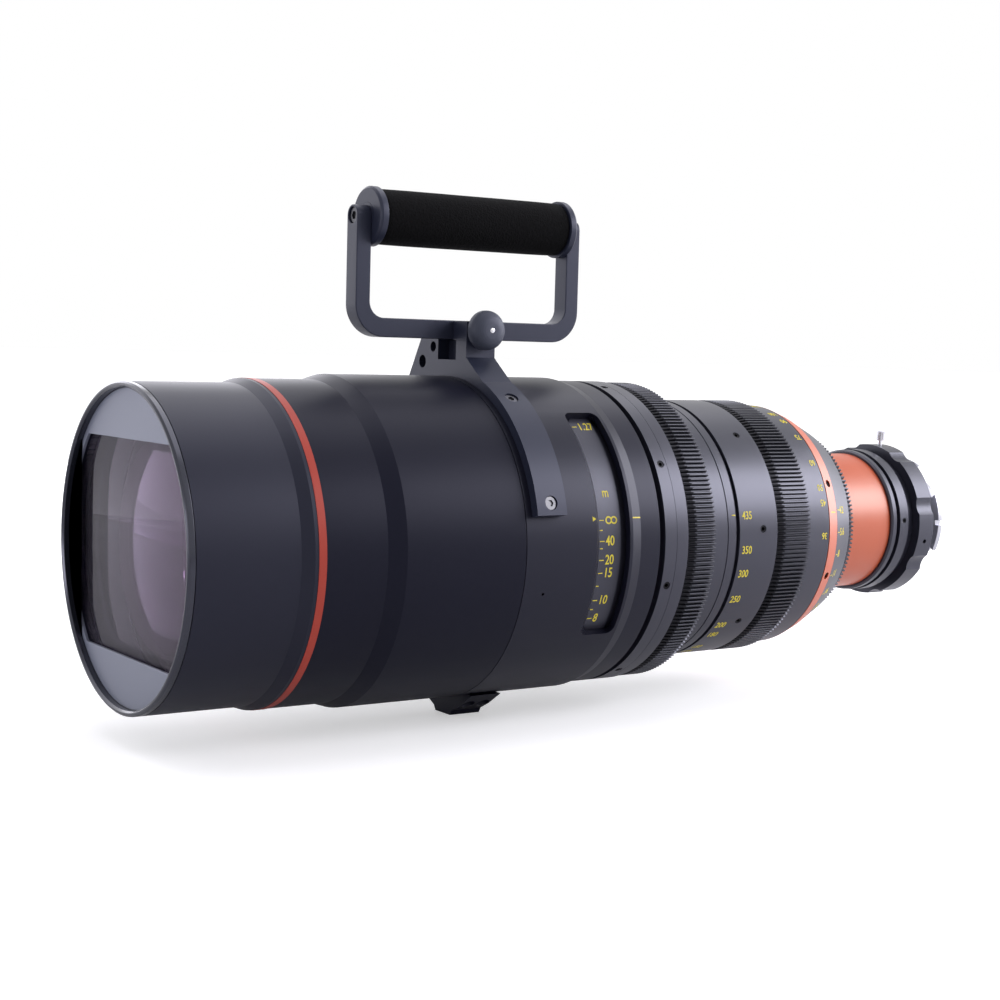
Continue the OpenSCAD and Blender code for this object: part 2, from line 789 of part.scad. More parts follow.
// The fixed plate with a post for each blade
module iris_base() {
    color(bright)
    union() {
        ring(iris_room, iris_open_r, s_blades - iris_plate_t - blade_gap, s_blades - blade_gap);
        for (k = [0 : blade_count - 1]) on_axis(s_blades - blade_gap) clocked(k * 360 / blade_count)
            translate([blade_pivot_r, 0, 0])
            cylinder(r = post_r, h = blade_count * blade_pitch + blade_gap, $fn = small_fn);
    }
}

// One curved blade, open, in its own layer
module iris_blade(k) {
    if (k <= blade_count)
    color(satin_black)
    on_axis(s_blades + (k - 1) * blade_pitch) clocked((k - 1) * 360 / blade_count)
    linear_extrude(height = blade_t) difference() {
        union() {
            rotate([0, 0, -blade_span]) intersection() {
                difference() {
                    circle(r = blade_pivot_r - post_r - gap, $fn = round_fn);
                    circle(r = iris_open_r + gap, $fn = round_fn);
                }
                polygon([[0, 0], [iris_room * 2, 0], [iris_room * 2, iris_room * 3],
                    iris_room * 3 * [cos(blade_span), sin(blade_span)]]);
            }
            translate([blade_pivot_r, 0]) circle(r = 2 * post_r, $fn = small_fn);
        }
        translate([blade_pivot_r, 0]) circle(r = post_r + fit, $fn = small_fn);
    }
}

module iris_blade_1() { iris_blade(1); }
module iris_blade_2() { iris_blade(2); }
module iris_blade_3() { iris_blade(3); }
module iris_blade_4() { iris_blade(4); }
module iris_blade_5() { iris_blade(5); }
module iris_blade_6() { iris_blade(6); }
module iris_blade_7() { iris_blade(7); }

module rear_barrel() {
    plug_s = s_rear - plug_l * plug_share;
    color(accent)
    turned([[rear_bore, plug_s], [iris_room, plug_s], [iris_room, s_rear], [rear_r, s_rear],
        [rear_r, s_collar], [rear_bore, s_collar]]);
}

module relay_cell() {
    s = relay_s;
    color(deep_black)
    turned([[relay_r - front_cell_lip, s], [rear_bore, s], [rear_bore, s + cell_l], [relay_r, s + cell_l],
        [relay_r, s + front_cell_lip], [relay_r - front_cell_lip, s + front_cell_lip]]);
}

module relay_element() {
    lens(relay_r - fit, relay_s + front_cell_lip + glass_edge / 2, glass_edge, glass_edge / 2,
        glass_edge / 4);
}

module rear_collar() {
    bead_r = collar_r - joint_groove;
    bead_s = s_collar + bead_l;
    groove_r = collar_r - collar_step;
    color(satin_black)
    difference() {
        turned([[hub_bore, s_collar - plug_l], [rear_bore, s_collar - plug_l], [rear_bore, s_collar],
            [bead_r - run, s_collar], [bead_r, s_collar + run], [bead_r, bead_s - run],
            [bead_r - run, bead_s], [groove_r, bead_s], [groove_r, s_collar_band], [collar_r, s_collar_band],
            [collar_r, s_collar_band + collar_band_l], [groove_r, s_collar_band + collar_band_l + run],
            [groove_r, s_band], [hub_r, s_band],
            [hub_r, s_plate], [hub_bore, s_plate]]);
        for (k = [0 : collar_screw_n - 1]) spoke(collar_screw_a + k * 360 / collar_screw_n, s_collar_screw)
            translate([0, 0, rear_r - plug_wall]) cylinder(r = small_screw_r, h = rear_r, $fn = small_fn);
    }
}

module collar_screws() {
    color(deep_black) for (k = [0 : collar_screw_n - 1])
        set_screw(collar_screw_a + k * 360 / collar_screw_n, s_collar_screw, rear_r - plug_wall,
            collar_r - gap, small_screw_r);
}

// The lobed back focus ring
module backfocus_ring() {
    scoop_r = lobe_r / 5;
    color(satin_black)
    difference() {
        ring(lobe_r, hub_r + fit, s_lobe, s_lobe + lobe_l);
        for (k = [0 : lobe_count - 1]) on_axis(s_lobe - run) clocked(lobe_a + k * 360 / lobe_count)
            translate([lobe_r + scoop_r - lobe_depth, 0, 0])
            cylinder(r = scoop_r, h = lobe_l + 2 * run, $fn = small_fn);
        spoke(lock_a, s_lobe + lobe_l / 2) cylinder(r = lock_r + fit, h = 2 * lobe_r, $fn = small_fn);
        spoke(-lobe_l, s_lobe + lobe_l / 2) translate([0, 0, lobe_r - lobe_l / 2])
            cylinder(r = lock_r, h = lobe_l, $fn = small_fn);
    }
}

module lock_screw() {
    head_r = lock_r * 2;
    color(bright)
    spoke(lock_a, s_lobe + lobe_l / 2) difference() {
        union() {
            translate([0, 0, hub_r + lock_lift])
                cylinder(r = lock_r, h = lobe_r + lock_neck - hub_r, $fn = small_fn);
            translate([0, 0, lobe_r + lock_neck]) cylinder(r = head_r, h = lock_head_l, $fn = small_fn);
        }
        for (k = [1 : knurl_n]) rotate([0, 0, k * 360 / knurl_n])
            translate([head_r, 0, lobe_r + lock_neck - run]) rotate([0, 0, 45])
            cube([lock_r / 4, lock_r / 4, 2 * (lock_head_l + 2 * run)], center = true);
    }
}

// The mount: neck, four tabs with the seat, and the locating spigot
module mount_plate() {
    neck_r = spigot_d / 2 + 2 * cam_wall;
    tab_root = neck_r + run;
    color(bright)
    difference() {
        union() {
            turned([[mount_bore, s_plate], [plate_r, s_plate], [plate_r, s_plate + cam_wall],
                [neck_r, s_plate + cam_wall], [neck_r, lens_l], [spigot_d / 2, lens_l],
                [spigot_d / 2, lens_l + spigot_l], [mount_bore, lens_l + spigot_l]]);
            difference() {
                ring(tab_d / 2, neck_r - run, lens_l - tab_t, lens_l);
                for (k = [0 : 3]) on_axis(lens_l - tab_t - run) clocked(tab_gap_a + k * 90)
                    translate([tab_root, -tab_gap_w / 2, 0]) cube([tab_d, tab_gap_w, tab_t + 2 * run]);
            }
        }
        on_axis(lens_l - tab_t - run) translate([tab_d / 2 - cam_wall, -cam_wall / 2, 0])
            cube([2 * cam_wall, cam_wall, tab_t + 2 * run]);
    }
}

module rear_element() {
    lens(mount_bore - fit, lens_l, glass_edge, -glass_edge / 3, glass_edge / 4);
}

// The wishbone saddle that carries the handle's clamp
module saddle() {
    in_r = main_r + fit;
    out_r = in_r + arm_t;
    mid_r = in_r + arm_t / 2;
    top_z = bar_z - gap;
    stem_w = 2 * bar_w + arm_t;
    color(slate)
    difference() {
        union() {
            on_axis(saddle_s) rotate([0, 0, -180 + arm_low])
                rotate_extrude(angle = 180 - 2 * arm_low, $fn = round_fn)
                translate([in_r, 0]) square([arm_t, saddle_w]);
            translate([0, saddle_s - lens_l + saddle_w, 0]) rotate([90, 0, 0])
                linear_extrude(height = saddle_w) difference() {
                    polygon([mid_r * [cos(stem_left_a), sin(stem_left_a)], [-stem_w, top_z],
                        [-stem_w, top_z + inner_jaw_h], [-bar_w / 2 - gap, top_z + inner_jaw_h],
                        [-bar_w / 2 - gap, top_z], [stem_out, top_z],
                        [stem_out, top_z - stem_down], mid_r * [cos(stem_right_a), sin(stem_right_a)]]);
                    circle(r = in_r, $fn = round_fn);
                }
        }
        for (a = saddle_bolt_a) spoke(a, saddle_s + saddle_w / 2) {
            translate([0, 0, in_r - run]) cylinder(r = bolt_r, h = arm_t + 2 * run, $fn = small_fn);
            translate([0, 0, mid_r]) cylinder(r = bolt_head_r + gap, h = arm_t, $fn = small_fn);
        }
        for (h = saddle_hole_shares) translate([h[0] * stem_w, saddle_s - lens_l - run, top_z - h[1] * stem_w])
            rotate([-90, 0, 0]) cylinder(r = bolt_r, h = saddle_w / 2 + run, $fn = small_fn);
        translate([-pocket_w / 2, saddle_s - lens_l - run, top_z - pocket_h])
            cube([pocket_w, pocket_l + run, pocket_h + run]);
    }
}

// Places children at each foot bolt, starting inside the barrel's wall
module foot_bolts() {
    for (a = foot_bolt_a, side = [foot_bolt_share, 1 - foot_bolt_share])
        spoke(a, foot_s + foot_l * side) translate([0, 0, main_r - house_wall]) children();
}

// The bolts that hold the saddle's arms on the barrel
module saddle_screws() {
    out_r = main_r + fit + arm_t;
    color(bright) for (a = saddle_bolt_a) spoke(a, saddle_s + saddle_w / 2) difference() {
        union() {
            translate([0, 0, main_r + fit]) cylinder(r = bolt_r, h = arm_t / 2, $fn = small_fn);
            translate([0, 0, out_r - arm_t / 2]) cylinder(r = bolt_head_r, h = arm_t / 3, $fn = small_fn);
        }
        translate([0, 0, out_r - arm_t / 3]) cylinder(r = socket_r, h = arm_t, $fn = 6);
    }
}

// The foot under the barrel, with a tapped hole for a support
module foot() {
    base_z = -main_r - foot_h;
    outline = [for (p = foot_outline_shares) [foot_w * p[0], base_z + foot_h * p[1]]];
    color(satin_black)
    difference() {
        translate([0, foot_s - lens_l + foot_l, 0]) rotate([90, 0, 0]) linear_extrude(height = foot_l)
            difference() {
                polygon(concat(outline, [for (i = [3 : -1 : 0]) [-outline[i][0], outline[i][1]]]));
                circle(r = main_r, $fn = round_fn);
            }
        translate([0, foot_s - lens_l + foot_l / 2, base_z - run])
            cylinder(r = thread_r, h = thread_l + run, $fn = small_fn);
        foot_bolts() cylinder(r = bolt_r, h = foot_h, $fn = small_fn);
        foot_bolts() translate([0, 0, foot_bolt_l])
            cylinder(r = bolt_head_r + gap, h = foot_h, $fn = small_fn);
    }
}

module foot_screws() {
    color(bright) foot_bolts() difference() {
        union() {
            cylinder(r = bolt_r, h = foot_bolt_l, $fn = small_fn);
            translate([0, 0, foot_bolt_l]) cylinder(r = bolt_head_r, h = bolt_r, $fn = small_fn);
        }
        translate([0, 0, foot_bolt_l + bolt_r / 2]) cylinder(r = bolt_r, h = foot_h, $fn = 6);
    }
}

// The outer jaw that the knob's stud passes through
module clamp_jaw() {
    from_x = bar_w / 2 + gap;
    color(slate)
    translate([from_x, saddle_s - lens_l, bar_z - gap]) difference() {
        cube([jaw_w, saddle_w, bar_h]);
        translate([-run, saddle_w / 2, bar_h / 2 + gap]) rotate([0, 90, 0])
            cylinder(r = stud_r + fit, h = jaw_w + 2 * run, $fn = small_fn);
    }
}

// The domed knob with its stud, which presses on the handle's bar
module clamp_knob() {
    from_x = bar_w / 2 + gap;
    face = jaw_w + gap;
    crown = knob_l * socket_share;
    top = face + knob_l;
    color(satin_black)
    translate([from_x, saddle_s - lens_l + saddle_w / 2, bar_z + bar_h / 2]) rotate([0, 90, 0])
        rotate_extrude($fn = round_fn) polygon([[0, 0], [stud_r, 0], [stud_r, face],
            [knob_r - crown / 2, face],
            [knob_r, face + crown / 2], [knob_r, top - crown],
            for (t = dome_a) [stud_r + (knob_r - stud_r) * cos(t), top - crown + crown * sin(t)],
            [stud_r / 2, top], [stud_r / 2, top - run], [0, top - run]]);
}

// A rectangle whose lower corners are rounded
module round_bottom(w, h, r) {
    translate([0, r]) square([w, h - r]);
    translate([r, 0]) square([w - 2 * r, h]);
    for (x = [r, w - r]) translate([x, r]) circle(r = r, $fn = round_fn);
}

// Places children at the handle's lower front corner
module at_handle() {
    translate([0, handle_s - lens_l, bar_z]) children();
}

module handle_frame() {
    color(slate)
    at_handle() difference() {
        union() {
            translate([-bar_w / 2, 0, 0]) rotate([90, 0, 90]) linear_extrude(height = bar_w) difference() {
                round_bottom(handle_l, grip_rise, corner_r);
                translate([upright_t, bar_h])
                    round_bottom(handle_l - 2 * upright_t, grip_rise, corner_r - upright_t);
            }
            for (y = [upright_t, handle_l]) translate([0, y, grip_rise]) rotate([90, 0, 0])
                cylinder(r = bar_w / 2, h = upright_t, $fn = small_fn);
        }
        translate([0, -run, grip_rise]) rotate([-90, 0, 0])
            cylinder(r = bolt_r, h = handle_l + 2 * run, $fn = small_fn);
        for (y = [-run, handle_l - upright_t / 2]) translate([0, y, grip_rise]) rotate([-90, 0, 0])
            cylinder(r = 2 * bolt_r, h = upright_t / 2 + run, $fn = small_fn);
    }
}

module grip_rod() {
    color(bright)
    at_handle() translate([0, upright_t, grip_rise]) rotate([-90, 0, 0]) difference() {
        cylinder(r = rod_r, h = handle_l - 2 * upright_t, $fn = small_fn);
        for (y = [-run, handle_l - 2 * upright_t - cap_t]) translate([0, 0, y])
            cylinder(r = bolt_r, h = cap_t + run, $fn = small_fn);
    }
}

module grip_foam() {
    color(foam_black)
    at_handle() translate([0, upright_t + cap_t, grip_rise]) rotate([-90, 0, 0]) difference() {
        cylinder(r = grip_d / 2, h = handle_l - 2 * (upright_t + cap_t), $fn = small_fn * 2);
        translate([0, 0, -run]) cylinder(r = rod_r, h = handle_l, $fn = small_fn);
    }
}

module grip_caps() {
    bevel = cap_t / 4;
    color(slate)
    for (side = [0, 1]) at_handle()
        translate([0, side == 0 ? upright_t : handle_l - upright_t, grip_rise])
        rotate([side == 0 ? -90 : 90, 0, 0]) rotate_extrude($fn = small_fn * 2)
        polygon([[rod_r, 0], [cap_d / 2 - bevel, 0], [cap_d / 2, bevel], [cap_d / 2, cap_t], [rod_r, cap_t]]);
}

module handle_screws() {
    color(bright)
    for (side = [0, 1]) at_handle()
        translate([0, side == 0 ? 0 : handle_l, grip_rise])
        rotate([side == 0 ? -90 : 90, 0, 0]) difference() {
            union() {
                translate([0, 0, upright_t / 8])
                    cylinder(r = 2 * bolt_r - gap, h = upright_t * 3 / 8, $fn = small_fn);
                translate([0, 0, upright_t / 8])
                    cylinder(r = bolt_r, h = upright_t + cap_t / 2, $fn = small_fn);
            }
            translate([0, 0, -run])
                cylinder(r = 2 * bolt_r * socket_share, h = upright_t / 4 + run, $fn = 6);
        }
}

front_rim();
light_mask();
front_barrel();
accent_ring();
main_barrel();
focus_housing();
front_cell();
front_element();
second_element();
front_tube();
focus_cell();
focus_element();
scale_drum();
focus_ring();
focus_gear();
focus_ring_screws();
core_housing();
index_ring();
zoom_ring();
zoom_gear();
zoom_ring_screws();
zoom_cam();
zoom_drive_pin();
guide_tube();
variator_cell();
variator_element();
compensator_cell();
compensator_element();
end_ring();
end_ring_screws();
iris_ring();
iris_gear();
iris_base();
iris_blade_1();
iris_blade_2();
iris_blade_3();
iris_blade_4();
iris_blade_5();
iris_blade_6();
iris_blade_7();
rear_barrel();
relay_cell();
relay_element();
rear_collar();
collar_screws();
backfocus_ring();
lock_screw();
mount_plate();
rear_element();
saddle();
saddle_screws();
foot();
foot_screws();
clamp_jaw();
clamp_knob();
handle_frame();
grip_rod();
grip_foam();
grip_caps();
handle_screws();
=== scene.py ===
import json
import math

import bpy
from mathutils import Matrix, Vector, noise
from mathutils.bvhtree import BVHTree

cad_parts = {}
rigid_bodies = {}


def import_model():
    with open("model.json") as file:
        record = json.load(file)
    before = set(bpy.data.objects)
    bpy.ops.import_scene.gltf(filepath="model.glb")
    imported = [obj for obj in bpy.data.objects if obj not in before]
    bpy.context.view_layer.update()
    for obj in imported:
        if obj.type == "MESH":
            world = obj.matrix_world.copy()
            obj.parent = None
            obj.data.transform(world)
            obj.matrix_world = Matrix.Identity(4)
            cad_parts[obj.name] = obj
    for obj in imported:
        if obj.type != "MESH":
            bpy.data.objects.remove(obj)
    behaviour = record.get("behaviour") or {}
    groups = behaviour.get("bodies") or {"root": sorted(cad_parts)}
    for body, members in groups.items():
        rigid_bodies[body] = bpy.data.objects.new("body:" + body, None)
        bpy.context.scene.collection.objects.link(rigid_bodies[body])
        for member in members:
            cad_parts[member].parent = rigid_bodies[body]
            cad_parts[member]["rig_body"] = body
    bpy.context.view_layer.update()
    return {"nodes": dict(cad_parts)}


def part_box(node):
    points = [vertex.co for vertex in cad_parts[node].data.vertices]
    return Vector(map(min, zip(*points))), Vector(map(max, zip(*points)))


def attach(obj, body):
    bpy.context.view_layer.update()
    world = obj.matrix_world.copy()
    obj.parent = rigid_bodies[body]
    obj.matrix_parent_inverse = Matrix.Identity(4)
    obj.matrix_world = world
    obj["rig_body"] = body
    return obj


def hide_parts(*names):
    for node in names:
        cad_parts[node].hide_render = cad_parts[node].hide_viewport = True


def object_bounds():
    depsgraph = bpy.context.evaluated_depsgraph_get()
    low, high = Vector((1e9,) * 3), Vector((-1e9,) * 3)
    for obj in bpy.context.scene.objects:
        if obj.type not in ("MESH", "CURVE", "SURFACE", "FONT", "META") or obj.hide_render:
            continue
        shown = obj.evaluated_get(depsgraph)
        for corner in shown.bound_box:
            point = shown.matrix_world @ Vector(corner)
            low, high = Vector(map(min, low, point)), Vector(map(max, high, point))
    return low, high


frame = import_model()
mm = 0.001
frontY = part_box("front_rim")[0].y


def station(distance):  # y of a place this many mm behind the front rim
    return frontY + distance * mm


# The camera stands where the photograph was taken, found from the circles of the rings
view = {"place": (809.6, -324.1, 100.2), "azimuth": 56.08, "elevation": 4.79, "roll": 1.58, "lens": 64.08,
        "sensor": 36, "nearest": 0.02}


def addCamera():
    azimuth, elevation, roll = (math.radians(view[name]) for name in ("azimuth", "elevation", "roll"))
    back = Vector((math.sin(azimuth) * math.cos(elevation), -math.cos(azimuth) * math.cos(elevation),
                   math.sin(elevation)))
    right = Vector((0, 0, 1)).cross(back).normalized()
    up = back.cross(right)
    turnedRight = math.cos(roll) * right + math.sin(roll) * up
    turnedUp = math.cos(roll) * up - math.sin(roll) * right
    bpy.ops.object.camera_add()
    camera = bpy.context.object
    camera.name = "photoCamera"
    camera.data.lens = view["lens"]
    camera.data.sensor_width = view["sensor"]
    camera.data.clip_start = view["nearest"]
    spot = Vector((view["place"][0] * mm, station(view["place"][1]), view["place"][2] * mm))
    camera.matrix_world = Matrix.Translation(spot) @ Matrix(
        (turnedRight, turnedUp, back)).transposed().to_4x4()
    bpy.context.scene.camera = camera


addCamera()
print("camera placed")

# Materials


def link(tree, source, target):
    tree.links.new(source, target)


def setInputs(node, values):
    for label, value in values.items():
        node.inputs[label].default_value = value


def maths(tree, operation, *values):  # each value is a number or another node's output
    node = tree.nodes.new("ShaderNodeMath")
    node.operation = operation
    for socket, value in zip(node.inputs, values):
        if isinstance(value, bpy.types.NodeSocket):
            link(tree, value, socket)
        else:
            socket.default_value = value
    return node.outputs[0]


def noiseAt(tree, place, scale, detail=2):
    cloud = tree.nodes.new("ShaderNodeTexNoise")
    setInputs(cloud, {"Scale": scale, "Detail": detail})
    link(tree, place, cloud.inputs["Vector"])
    return cloud.outputs["Fac"]


def tinted(tree, colour, gain):
    tint = tree.nodes.new("ShaderNodeVectorMath")
    tint.operation = "SCALE"
    link(tree, colour, tint.inputs[0])
    link(tree, gain, tint.inputs["Scale"])
    return tint.outputs[0]


def bumpFrom(tree, height, depth, distance):
    bump = tree.nodes.new("ShaderNodeBump")
    bump.inputs["Distance"].default_value = distance * mm
    link(tree, depth, bump.inputs["Strength"])
    link(tree, height, bump.inputs["Height"])
    return bump.outputs["Normal"]


def newGroup(name, inputs, outputs):
    group = bpy.data.node_groups.new(name, "ShaderNodeTree")
    for label, kind, value in inputs:
        socket = group.interface.new_socket(name=label, in_out="INPUT", socket_type=kind)
        socket.default_value = value
    for label, kind in outputs:
        group.interface.new_socket(name=label, in_out="OUTPUT", socket_type=kind)
    given = group.nodes.new("NodeGroupInput").outputs
    result = group.nodes.new("NodeGroupOutput").inputs
    return group, given, result


# sizes of the textures, counted per metre, their fine detail, and bump heights in mm
texture = {"blotches": 22, "blotchDetail": 5, "noiseMiddle": 0.5, "metalBump": 0.04, "grainShare": 0.6,
           "speckles": 350, "speckleDetail": 6, "foamBump": 0.3}


def metalGroup(name, stretch, ringScale, grainScale):
    # fine rings left by the lathe or the grain of bead blasting, with soft blotches in the dye
    group, given, result = newGroup(name, [
        ("Base", "NodeSocketColor", (0.02, 0.02, 0.02, 1)), ("Roughness", "NodeSocketFloat", 0.35),
        ("Depth", "NodeSocketFloat", 0.05), ("Blotch", "NodeSocketFloat", 0.15)],
        [("Color", "NodeSocketColor"), ("Roughness", "NodeSocketFloat"), ("Normal", "NodeSocketVector")])
    place = group.nodes.new("ShaderNodeTexCoord").outputs["Object"]
    stretched = group.nodes.new("ShaderNodeMapping")
    stretched.inputs["Scale"].default_value = stretch
    link(group, place, stretched.inputs["Vector"])
    rings = noiseAt(group, stretched.outputs["Vector"], ringScale)
    grain = noiseAt(group, place, grainScale)
    height = maths(group, "MULTIPLY_ADD", grain, texture["grainShare"], rings)
    dye = noiseAt(group, place, texture["blotches"], texture["blotchDetail"])
    uneven = maths(group, "MULTIPLY", maths(group, "SUBTRACT", dye, texture["noiseMiddle"]), given["Blotch"])
    gain = maths(group, "ADD", uneven, 1)
    link(group, tinted(group, given["Base"], gain), result["Color"])
    link(group, maths(group, "MULTIPLY", gain, given["Roughness"]), result["Roughness"])
    link(group, bumpFrom(group, height, given["Depth"], texture["metalBump"]), result["Normal"])
    return group


def foamGroup():  # closed cells with a fine speckle
    group, given, result = newGroup("closedCellFoam", [
        ("Base", "NodeSocketColor", (0.01, 0.01, 0.01, 1)), ("Cell Size", "NodeSocketFloat", 900),
        ("Depth", "NodeSocketFloat", 0.5)],
        [("Color", "NodeSocketColor"), ("Normal", "NodeSocketVector")])
    place = group.nodes.new("ShaderNodeTexCoord").outputs["Object"]
    cells = group.nodes.new("ShaderNodeTexVoronoi")
    link(group, place, cells.inputs["Vector"])
    link(group, given["Cell Size"], cells.inputs["Scale"])
    speckle = noiseAt(group, place, texture["speckles"], texture["speckleDetail"])
    height = maths(group, "ADD", cells.outputs["Distance"], speckle)
    link(group, tinted(group, given["Base"], height), result["Color"])
    link(group, bumpFrom(group, height, given["Depth"], texture["foamBump"]), result["Normal"])
    return group


turnedMetal = metalGroup("turnedMetal", (12, 2600, 12), 1, 2400)
blastedMetal = metalGroup("blastedMetal", (1, 1, 1), 1500, 4200)
closedCellFoam = foamGroup()


def newMaterial(name):
    material = bpy.data.materials.new(name)
    material.use_nodes = True
    return material, material.node_tree.nodes["Principled BSDF"]


def useGroup(material, shader, group, values):  # the group's outputs feed the shader's sockets
    tree = material.node_tree
    finish = tree.nodes.new("ShaderNodeGroup")
    finish.node_tree = group
    setInputs(finish, values)
    for output in finish.outputs:
        link(tree, output, shader.inputs["Base Color" if output.name == "Color" else output.name])


def anodised(name, colour, roughness=0.36, ringDepth=0.08, blotch=0.12, metallic=0.0, gloss=0.3, grooves=True,
             sheen=(0.84, 0.85, 1.0)):
    material, shader = newMaterial(name)
    useGroup(material, shader, turnedMetal if grooves else blastedMetal,
             {"Base": (*colour, 1), "Roughness": roughness, "Depth": ringDepth, "Blotch": blotch})
    setInputs(shader, {"Metallic": metallic, "Specular IOR Level": gloss, "Specular Tint": (*sheen, 1)})
    return material


def coatedGlass(name, tint, ior, sheen, gloss, paintedTintShare=0.0):  # this share is shaded as diffuse tinted glass; with the mauve tint it paints the coating's coloured reflection into the glass
    material, shader = newMaterial(name)
    setInputs(shader, {"Base Color": (*tint, 1), "Transmission Weight": 1 - paintedTintShare, "Roughness": 0.0, "IOR": ior,
                       "Specular IOR Level": gloss, "Specular Tint": (*sheen, 1)})
    return material


def foam(name, colour, roughness=0.92, gloss=0.09):
    material, shader = newMaterial(name)
    useGroup(material, shader, closedCellFoam, {"Base": (*colour, 1)})
    setInputs(shader, {"Roughness": roughness, "Specular IOR Level": gloss})
    return material


satinBlack = anodised("satinBlack", (0.0038, 0.004, 0.0105), roughness=0.4, gloss=0.15)
housingBlack = anodised("housingBlack", (0.0054, 0.0056, 0.0125), roughness=0.38, gloss=0.26)
# a lighter, glossier copy of the barrel black for the front barrel only: painted light, where the same finish
# catches more light
frontBlackPaintedLight = anodised("frontBlackPaintedLight", (0.0075, 0.008, 0.0165), roughness=0.42, gloss=0.27)
rimBlack = anodised("rimBlack", (0.014, 0.015, 0.022), roughness=0.2, gloss=0.6)
ringBlack = anodised("ringBlack", (0.012, 0.0122, 0.02), roughness=0.36, gloss=0.66)
deepBlack = anodised("deepBlack", (0.015, 0.015, 0.023), roughness=0.42, gloss=0.6)
gearBlack = anodised("gearBlack", (0.006, 0.0065, 0.009), roughness=0.3, ringDepth=0.02, gloss=0.6, grooves=False)
# a darker copy of gearBlack: painted shade on the front ends of the gear teeth
paintedGearShade = anodised("paintedGearShade", (0.003, 0.003, 0.004), roughness=0.4, ringDepth=0.02, gloss=0.15, grooves=False)
innerBlack = anodised("innerBlack", (0.0025, 0.0025, 0.003), roughness=0.6, gloss=0.08)
maskGrey = anodised("maskGrey", (0.15, 0.162, 0.21), roughness=0.42, gloss=0.7, grooves=False)
slateGrey = anodised("slateGrey", (0.0135, 0.016, 0.03), roughness=0.42, gloss=0.36, grooves=False)
accentRed = anodised("accentRed", (0.33, 0.038, 0.024), roughness=0.42, gloss=0.3, sheen=(1, 0.84, 0.8))
rearRed = anodised("rearRed", (0.44, 0.066, 0.015), roughness=0.38, gloss=0.85, sheen=(1, 0.96, 0.86))
brightSteel = anodised("brightSteel", (0.66, 0.66, 0.69), roughness=0.26, metallic=1.0, gloss=0.5, grooves=False)
mountSteel = anodised("mountSteel", (0.42, 0.42, 0.45), roughness=0.3, metallic=1.0, gloss=0.5)
screwSteel = anodised("screwSteel", (0.1, 0.1, 0.105), roughness=0.3, metallic=1.0, gloss=0.5, grooves=False)
recessBlack = anodised("recessBlack", (0.0025, 0.0025, 0.003), roughness=0.4, ringDepth=0.02, gloss=0.15,
                       grooves=False)
blackSteel = anodised("blackSteel", (0.008, 0.008, 0.009), roughness=0.3, ringDepth=0.02, gloss=0.6, grooves=False)
camBrass = anodised("camBrass", (0.05, 0.045, 0.04), roughness=0.5, metallic=1.0)
knobBlack = anodised("knobBlack", (0.034, 0.038, 0.054), roughness=0.55, gloss=0.4, grooves=False)
markYellow = anodised("markYellow", (0.64, 0.53, 0.045), roughness=0.5, ringDepth=0.02, gloss=0.2, grooves=False,
                      sheen=(1, 1, 1))
# the mauve tints and diffuse shares of these two glasses are a painted reflection of the lens coating's colour
frontGlass = coatedGlass("frontGlass", (0.92, 0.85, 1.0), 1.125, (0.95, 0.8, 1.0), 0.5, paintedTintShare=0.02)
innerGlass = coatedGlass("innerGlass", (0.36, 0.25, 0.33), 1.3, (1.0, 0.68, 0.88), 0.8, paintedTintShare=0.05)
deepGlass = coatedGlass("deepGlass", (0.10, 0.09, 0.11), 1.2, (0.8, 0.9, 0.7), 0.5)
gripFoam = foam("gripFoam", (0.0016, 0.0016, 0.0019))

finishes = {
    satinBlack: ["main_barrel", "foot", "front_cell"],
    housingBlack: ["focus_housing"],
    frontBlackPaintedLight: ["front_barrel"],
    rimBlack: ["front_rim"],
    ringBlack: ["focus_ring", "index_ring", "zoom_ring", "iris_ring", "rear_collar", "backfocus_ring"],
    maskGrey: ["light_mask"],
    accentRed: ["accent_ring"],
    rearRed: ["rear_barrel", "end_ring"],
    innerBlack: ["front_tube", "focus_cell", "core_housing", "guide_tube", "variator_cell",
                 "compensator_cell", "relay_cell"],
    deepBlack: ["scale_drum"],
    gearBlack: ["focus_gear", "zoom_gear", "iris_gear"],
    frontGlass: ["front_element"],
    innerGlass: ["second_element", "rear_element"],
    deepGlass: ["focus_element", "variator_element", "compensator_element", "relay_element"],
    brightSteel: ["lock_screw", "zoom_drive_pin", "iris_base"],
    mountSteel: ["mount_plate"],
    recessBlack: ["focus_ring_screws", "zoom_ring_screws", "end_ring_screws", "collar_screws"],
    screwSteel: ["saddle_screws"],
    blackSteel: ["foot_screws", "handle_screws"] + [
        "iris_blade_%d" % number for number in range(1, 8)],
    camBrass: ["zoom_cam"],
    slateGrey: ["saddle", "clamp_jaw", "handle_frame", "grip_caps", "grip_rod"],
    knobBlack: ["clamp_knob"],
    gripFoam: ["grip_foam"],
}
for material, names in finishes.items():
    for name in names:
        mesh = frame["nodes"][name].data
        mesh.materials.clear()
        mesh.materials.append(material)
print("materials assigned")

# Shared steps for making pieces


def deselectAll():
    if bpy.context.object and bpy.context.object.mode != "OBJECT":
        bpy.ops.object.mode_set(mode="OBJECT")
    bpy.ops.object.select_all(action="DESELECT")


def activate(piece):
    deselectAll()
    piece.select_set(True)
    bpy.context.view_layer.objects.active = piece


def settle(piece):  # puts the place into the mesh
    activate(piece)
    bpy.ops.object.transform_apply(location=True, rotation=True, scale=True)


def joinPieces(pieces, name):
    deselectAll()
    for piece in pieces:
        piece.select_set(True)
    bpy.context.view_layer.objects.active = pieces[0]
    if len(pieces) > 1:
        bpy.ops.object.join()
    joined = bpy.context.object
    joined.name = name
    return joined


def dress(piece, material, body):
    piece.data.materials.clear()
    piece.data.materials.append(material)
    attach(piece, body)


